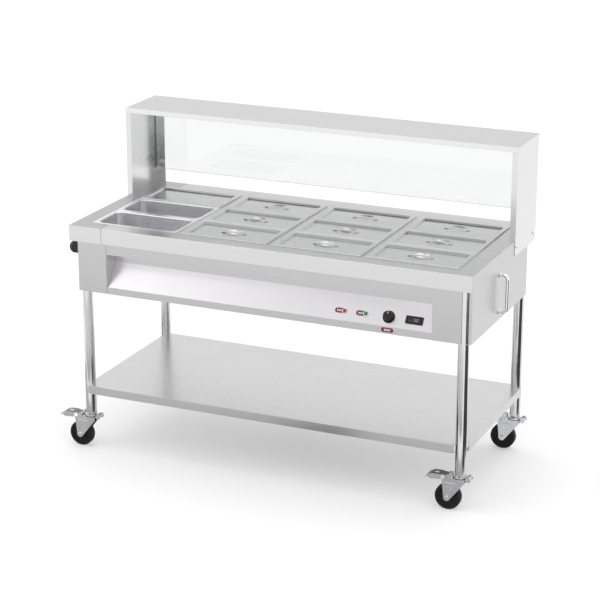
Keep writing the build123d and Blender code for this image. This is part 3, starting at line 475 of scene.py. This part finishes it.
def pill_label(name, length, width, placement, marks):
    """Dark red pill-shaped label with a pale edge and plain pale marks."""
    edge = rounded(length + 3, width + 3, width / 2 + 1.5)
    plate(f"{name}_edge", [edge], (0, 0.35), LABEL_EDGE, placement)
    plate(f"{name}_face", [rounded(length, width, width / 2)], (0.3, 0.7), LABEL_RED, placement)
    plate(f"{name}_marks", marks, (0.65, 0.9), PRINT_WHITE, placement, edge=0.06)


def bars(start, pitch, heights, width=2.2):
    """Row of upright strokes centred on the X axis."""
    strokes = []
    for index, height in enumerate(heights):
        strokes.append(shifted(rounded(width, height, 0.8, 3), start + index * pitch, 0))
    return strokes


bezel = [(7.15, 0.9), (8.9, 0.9), (9.3, 1.5), (8.9, 2.2), (7.6, 2.6), (7.15, 2.2)]
for label, x in (("red", RED_X), ("green", GREEN_X)):
    marks = bars(-12, 4.2, (7, 5, 7, 5))
    pill_label(f"label_{label}_lamp", 42, 17, on_panel(x - LABEL_LEFT), marks)
    turned(f"lamp_bezel_{label}", bezel, CHROME, on_panel(x))
pill_label("label_heater", 44, 16, on_front(*HEATER_LABEL), bars(-9, 4.5, (7, 5, 8, 5, 7), 2.6))

KNOB = on_panel(KNOB_X)
KNOB_BODY = "temperature_knob"
SKIRT = (3.35, 3.9)                  # printed ring on the knob's skirt
FINGER_TOP = 18.2                    # top of the knob's grip
TICKS, TICK_STEP = 13, 25            # scale dots, and the angle between two of them
plate("knob_red_arc", [arc_band(18.0, 21.1, -28, 52)], SKIRT, PRINT_RED, KNOB, KNOB_BODY)
pointer = shifted(rounded(1.3, 9.5, 0.5, 3), 0, 9.2)
pointer_levels = (FINGER_TOP + 0.52, FINGER_TOP + 0.9)
plate("knob_pointer", [pointer], pointer_levels, PRINT_WHITE, KNOB, KNOB_BODY)
ticks = []
for step in range(TICKS):
    angle = math.radians(90 - TICK_STEP * step)
    centre = (19.6 * math.cos(angle), 19.6 * math.sin(angle))
    ticks.append(shifted(rounded(1.0, 1.0, 0.45, 3), *centre))
plate("knob_ticks", ticks, (SKIRT[1], SKIRT[1] + 0.25), PRINT_WHITE, KNOB, KNOB_BODY, 0.08)
cap = polygon_outline(40, 9.5)
plate("knob_cap", [cap], (FINGER_TOP, FINGER_TOP + 0.35), GLOSS_BLACK, KNOB, KNOB_BODY, 0.2)
collar = [(21.9, 0.02), (24.2, 0.02), (24.4, 0.4), (23.9, 0.7), (22.2, 0.7), (21.9, 0.4)]
turned("knob_collar", collar, ZINC, KNOB)


def digit(lit, x):
    """Seven-segment digit; lit names its segments from a, the top one, round to g, the middle."""
    half, tall, thick = 2.7, 4.6, 1.0
    level = {"a": tall, "g": 0.0, "d": -tall}
    upright = {"b": (half, 1), "c": (half, -1), "e": (-half, -1), "f": (-half, 1)}
    outlines = []
    for segment in lit:
        if segment in level:
            outlines.append(shifted(rounded(2 * half - 1.4, thick, 0.4, 3), x, level[segment]))
        else:
            side, end = upright[segment]
            outlines.append(shifted(rounded(thick, tall - 1.2, 0.4, 3), x + side, end * tall / 2))
    return outlines


DISPLAY = on_panel(DISPLAY_X)
WINDOW = (2.9, 3.2)                  # the window's back and face, off the panel
ON_WINDOW = 3.15
KEY_X, KEY_PITCH = -18.0, 6.0
window = rounded(45.4, 16.4, 1.0)
plate("display_window", [window], WINDOW, SMOKED, DISPLAY, edge=0.08)
digits = digit("acdfg", 2.0) + digit("abcdef", 10.5)
plate("display_digits", digits, (ON_WINDOW, 3.4), DIGITS, DISPLAY, edge=0.05)
key, dot = rounded(3.8, 3.8, 1.1, 4), polygon_outline(14, 0.7)
keys = [shifted(key, KEY_X + KEY_PITCH * index, -3.0) for index in range(3)]
plate("display_keys", keys, (ON_WINDOW, 3.6), KEY_GREY, DISPLAY, edge=0.2)
dots = [shifted(dot, KEY_X + KEY_PITCH * index, 3.8) for index in range(3)]
plate("display_dots", dots, (ON_WINDOW, 3.35), PRINT_RED, DISPLAY, edge=0.05)

# ---- cabinet and guard fittings ----------------------------------------------------------
SIDE_FACE, REAR_FACE = 735.0, 580.0  # outer faces of the right side panel and the rear panel
SIDE_RIVETS = ((134.0, 637.0), (470.0, 637.0))
REAR_RIVETS, REAR_RIVET_X, REAR_RIVET_PITCH, REAR_RIVET_Z = 7, -630.0, 205.0, 602.0
CLIP_X, CLIP_LEVELS = 709.0, (900.0, 1085.0)
GLASS_FACE, GLASS_FOOT = 650.4, 869.4
STRIP_LENGTH, STRIP_HEIGHT, STRIP_DEPTH = 1462.0, 3.0, 7.4
STRIP_REAR = 657.3

dome = [(0.4, 0.0), (3.4, 0.0), (3.3, 0.7), (2.6, 1.4), (1.4, 1.8), (0.4, 1.9)]
for index, (y, z) in enumerate(SIDE_RIVETS):
    turned(f"side_rivet_{index + 1}", dome, CHROME, on_right(SIDE_FACE, y, z))
for index in range(REAR_RIVETS):
    x = REAR_RIVET_X + REAR_RIVET_PITCH * index
    turned(f"rear_rivet_{index + 1}", dome, CHROME, on_rear(x, REAR_FACE, REAR_RIVET_Z))
clip = rounded(26, 16, 3, 5)
for side, x in (("left", -CLIP_X), ("right", CLIP_X)):
    for index, z in enumerate(CLIP_LEVELS):
        name = f"{side}_{index + 1}"
        clip_place = on_front(x, GLASS_FACE, z)
        plate(f"glass_clip_{name}", [clip], (0.1, 2.0), CHROME, clip_place, edge=0.4)
        turned(f"clip_screw_{name}", dome, CHROME, on_front(x, GLASS_FACE - 2.0, z))
strip = oblong((-STRIP_LENGTH / 2, STRIP_LENGTH / 2), (0.0, STRIP_HEIGHT))
strip_place = on_front(0.0, STRIP_REAR, GLASS_FOOT)
plate("glass_edge_strip", [strip], (0.0, STRIP_DEPTH), CLEAR_STRIP, strip_place, edge=0.6)

# ---- casters -----------------------------------------------------------------------------
LEG_X = {"left": -682.0, "right": 705.0}    # each caster swivels under its leg
LEG_Y = {"front": 22.0, "rear": 599.5}
TRAIL, AXLE_HEIGHT = 40.0, 45.0      # the axle's place, beside and below the swivel
FORK_TOP, COLLAR_FOOT = 116.7, 125.2
CHEEK_FACE, NUT_FACE, WHEEL_FACE = 20.0, 24.0, 13.0   # from the caster's middle, along the axle
SPOKES, SPOKE_TURN = 8, 10           # number, and the first one's angle in degrees
SPOKE_ENDS, SPOKE_HALF, SPOKE_LEVELS = (12.0, 33.4), 1, (-3.2, -0.4)

race = [(23.5, 0.2), (24.3, 0.2), (24.6, 0.9), (24.3, 1.7), (23.5, 1.7)]
band = [(15.6, 0.0), (17.6, 0.0), (18.0, 0.6), (18.0, 3.4), (17.6, 4.0), (15.6, 4.0)]
bead = [(34.6, -0.6), (38.4, -0.6), (38.4, 0.5), (37.6, 0.9), (35.4, 0.9), (34.6, 0.5)]
screw, nut = polygon_outline(6, 2.6), polygon_outline(6, 6.4)
cheek = [(-45.0, 60.0), (-33.5, 60.0), (-6.0, 100.0), (-47.0, 100.0)]
mirrored_cheek = [(-px, pz) for px, pz in reversed(cheek)]


def wheel_spokes(name, hub, wheel):
    """Ribs of a wheel's disc, from its hub to the bead."""
    mesh = bmesh.new()
    for spoke in range(SPOKES):
        angle = math.radians(360 / SPOKES * spoke + SPOKE_TURN)
        across = (-SPOKE_HALF * math.sin(angle), SPOKE_HALF * math.cos(angle))
        near, far = [(reach * math.cos(angle), reach * math.sin(angle)) for reach in SPOKE_ENDS]
        corners = ((near, -1), (far, -1), (far, 1), (near, 1))
        outline = [(px + s * across[0], py + s * across[1]) for (px, py), s in corners]
        prism(mesh, outline, *SPOKE_LEVELS)
    add_piece(name, mesh, RUBBER, hub, wheel, 0.4)


def caster_fittings(name, x, y):
    """Race, collar, cheek panels, axle nuts, and the beads and ribs of the wheel."""
    fork, wheel = f"caster_fork_{name}", f"caster_wheel_{name}"
    turned(f"swivel_ring_{name}", race, STEEL_DARK, flat_on(x, y, FORK_TOP), fork)
    turned(f"collar_band_{name}", band, ZINC, flat_on(x, y, COLLAR_FOOT))
    screw_place = on_front(x + 3.0, y - 17.7, COLLAR_FOOT + 2.0)
    plate(f"collar_screw_{name}", [screw], (0, 1.6), STEEL_DARK, screw_place, edge=0.3)
    for face, sign, put, outline in (("a", -1, on_front, cheek), ("b", 1, on_rear, mirrored_cheek)):
        cheek_place = put(x, y + sign * CHEEK_FACE, 0.0)
        plate(f"cheek_panel_{name}_{face}", [outline], (-0.3, 0.9), ZINC, cheek_place, fork, 0.8)
        nut_place = put(x - TRAIL, y + sign * NUT_FACE, AXLE_HEIGHT)
        plate(f"axle_nut_{name}_{face}", [nut], (0.0, 3.6), ZINC, nut_place, fork, 0.5)
        hub = put(x - TRAIL, y + sign * WHEEL_FACE, AXLE_HEIGHT)
        turned(f"wheel_bead_{name}_{face}", bead, RUBBER, hub, wheel, 0.2, 64)
        wheel_spokes(f"wheel_spokes_{name}_{face}", hub, wheel)


for end, y in LEG_Y.items():
    for side, x in LEG_X.items():
        caster_fittings(f"{end}_{side}", x, y)


# ---- stage, light and camera -------------------------------------------------------------
FLOOR_HALF = 30.0
FLOOR_GREY, FLOOR_GLOW = 0.60, 0.34
SKY_STOPS = ((0.0, 0.90), (0.30, 0.86), (0.62, 1.02), (1.0, 1.15))   # height and brightness
SKY_STRENGTH = 1.17


def level_sheet(name, outline, z):
    """Flat stage object with one face, in metres."""
    mesh = bpy.data.meshes.new(name)
    mesh.from_pydata([(x, y, z) for x, y in outline], [], [tuple(range(len(outline)))])
    sheet = bpy.data.objects.new(name, mesh)
    bpy.context.scene.collection.objects.link(sheet)
    return sheet


def stage_floor():
    """Pale floor, a little lit from within so that it stays near white."""
    floor = level_sheet("floor", oblong((-FLOOR_HALF, FLOOR_HALF), (-FLOOR_HALF, FLOOR_HALF)), 0)
    material, tree, shader = new_material("pale_floor")
    cloud = noise(tree, 0.7, EVEN, 2.0)
    grey = tinted(tree, (FLOOR_GREY, FLOOR_GREY, FLOOR_GREY), cloud, 0.995, 1.005)
    tree.links.new(grey, shader.inputs["Base Color"])
    shader.inputs["Emission Color"].default_value = (1, 1, 1, 1)
    shader.inputs["Emission Strength"].default_value = FLOOR_GLOW
    shader.inputs["Roughness"].default_value = 0.75
    shader.inputs["Specular IOR Level"].default_value = 0.2
    floor.data.materials.append(material)


def world_light():
    """Even studio light: a pale band low down, brighter overhead."""
    world = bpy.data.worlds.new("studio")
    world.use_nodes = True
    bpy.context.scene.world = world
    tree = world.node_tree
    background = tree.nodes["Background"]
    coords = tree.nodes.new("ShaderNodeTexCoord")
    split = tree.nodes.new("ShaderNodeSeparateXYZ")
    ramp = tree.nodes.new("ShaderNodeValToRGB")
    tree.links.new(coords.outputs["Generated"], split.inputs["Vector"])
    tree.links.new(split.outputs["Z"], ramp.inputs["Fac"])
    elements = ramp.color_ramp.elements
    for index, (height, level) in enumerate(SKY_STOPS):
        element = elements[index] if index < 2 else elements.new(height)
        element.position = height
        element.color = (level, level, level, 1)
    tree.links.new(ramp.outputs["Color"], background.inputs["Color"])
    background.inputs["Strength"].default_value = SKY_STRENGTH


def area_light(name, location, aim, size, power):
    """Soft rectangular light that looks at a point."""
    data = bpy.data.lights.new(name, "AREA")
    data.shape = "RECTANGLE"
    data.size, data.size_y = size
    data.energy = power
    light = bpy.data.objects.new(name, data)
    bpy.context.scene.collection.objects.link(light)
    light.location = location
    light.rotation_euler = (Vector(aim) - Vector(location)).to_track_quat("-Z", "Y").to_euler()


def wedge(centre, angles, reach, steps=12):
    """Part of a ring about a centre, between two angles in degrees and two radii."""
    outline = []
    for radius, (start, end) in zip(reach, (angles, angles[::-1])):
        for step in range(steps + 1):
            angle = math.radians(start + (end - start) * step / steps)
            along = (math.cos(angle), math.sin(angle))
            outline.append((centre[0] + radius * along[0], centre[1] + radius * along[1]))
    return outline


def floor_card(name, outline, level, z):
    """Matt card just over the floor that only shows in reflections."""
    card = level_sheet(name, outline, z)
    material, _, shader = new_material(name)
    shader.inputs["Base Color"].default_value = (level, level, level, 1)
    shader.inputs["Roughness"].default_value = 1.0
    shader.inputs["Specular IOR Level"].default_value = 0.0
    card.data.materials.append(material)
    for ray in ("camera", "diffuse", "transmission", "volume_scatter", "shadow"):
        setattr(card, f"visible_{ray}", False)


stage_floor()
world_light()
area_light("overhead", (0.0, 0.3, 4.2), (0, 0, 0.5), (3.5, 2.6), 21)
area_light("front_left", (-3.2, -2.6, 3.4), (-0.3, 0, 0.6), (2.4, 1.8), 16)

# Grey cards in front of the unit give the front, the legs and the casters something to mirror.
for subject, x, y, level in (
    ("front", (-1.5, 1.1), (-1.25, -0.95), 0.42),
    ("legs", (-2.5, 1.2), (-1.9, -1.25), 0.62),
    ("casters", (-1.5, 1.1), (-0.74, -0.38), 0.42),
):
    floor_card(f"grey_card_{subject}", oblong(x, y), level, 0.0015)

# Wedges about a leg's foot mirror as the dark and dim stripes that run up a polished tube.
DARK_ANGLES, DIM_ANGLES = (-38, 14), (150, 180)
for end, side, far in (("front", "right", 2.4), ("rear", "right", 2.4), ("front", "left", 0.95)):
    foot = place(LEG_X[side], LEG_Y[end], 0.0)
    dark, dim = wedge(foot, DARK_ANGLES, (0.35, far)), wedge(foot, DIM_ANGLES, (0.35, 0.9))
    floor_card(f"dark_wedge_{end}_{side}", dark, 0.05, 0.0020)
    floor_card(f"dim_wedge_{end}_{side}", dim, 0.25, 0.0025)

CAMERA_LOCATION = (2.69647, -6.09683, 2.74488)
CAMERA_DOWN, CAMERA_TURN = 18.27, 23.8   # degrees below the horizon and round from the front
camera_data = bpy.data.cameras.new("camera")
camera_data.sensor_width = 36.0
camera_data.lens = 120.354
camera_data.clip_end = 100.0
camera = bpy.data.objects.new("camera", camera_data)
bpy.context.scene.collection.objects.link(camera)
camera.location = CAMERA_LOCATION
camera.rotation_euler = (math.radians(90 - CAMERA_DOWN), 0, math.radians(CAMERA_TURN))
bpy.context.scene.camera = camera
bpy.context.scene.view_settings.view_transform = "Standard"
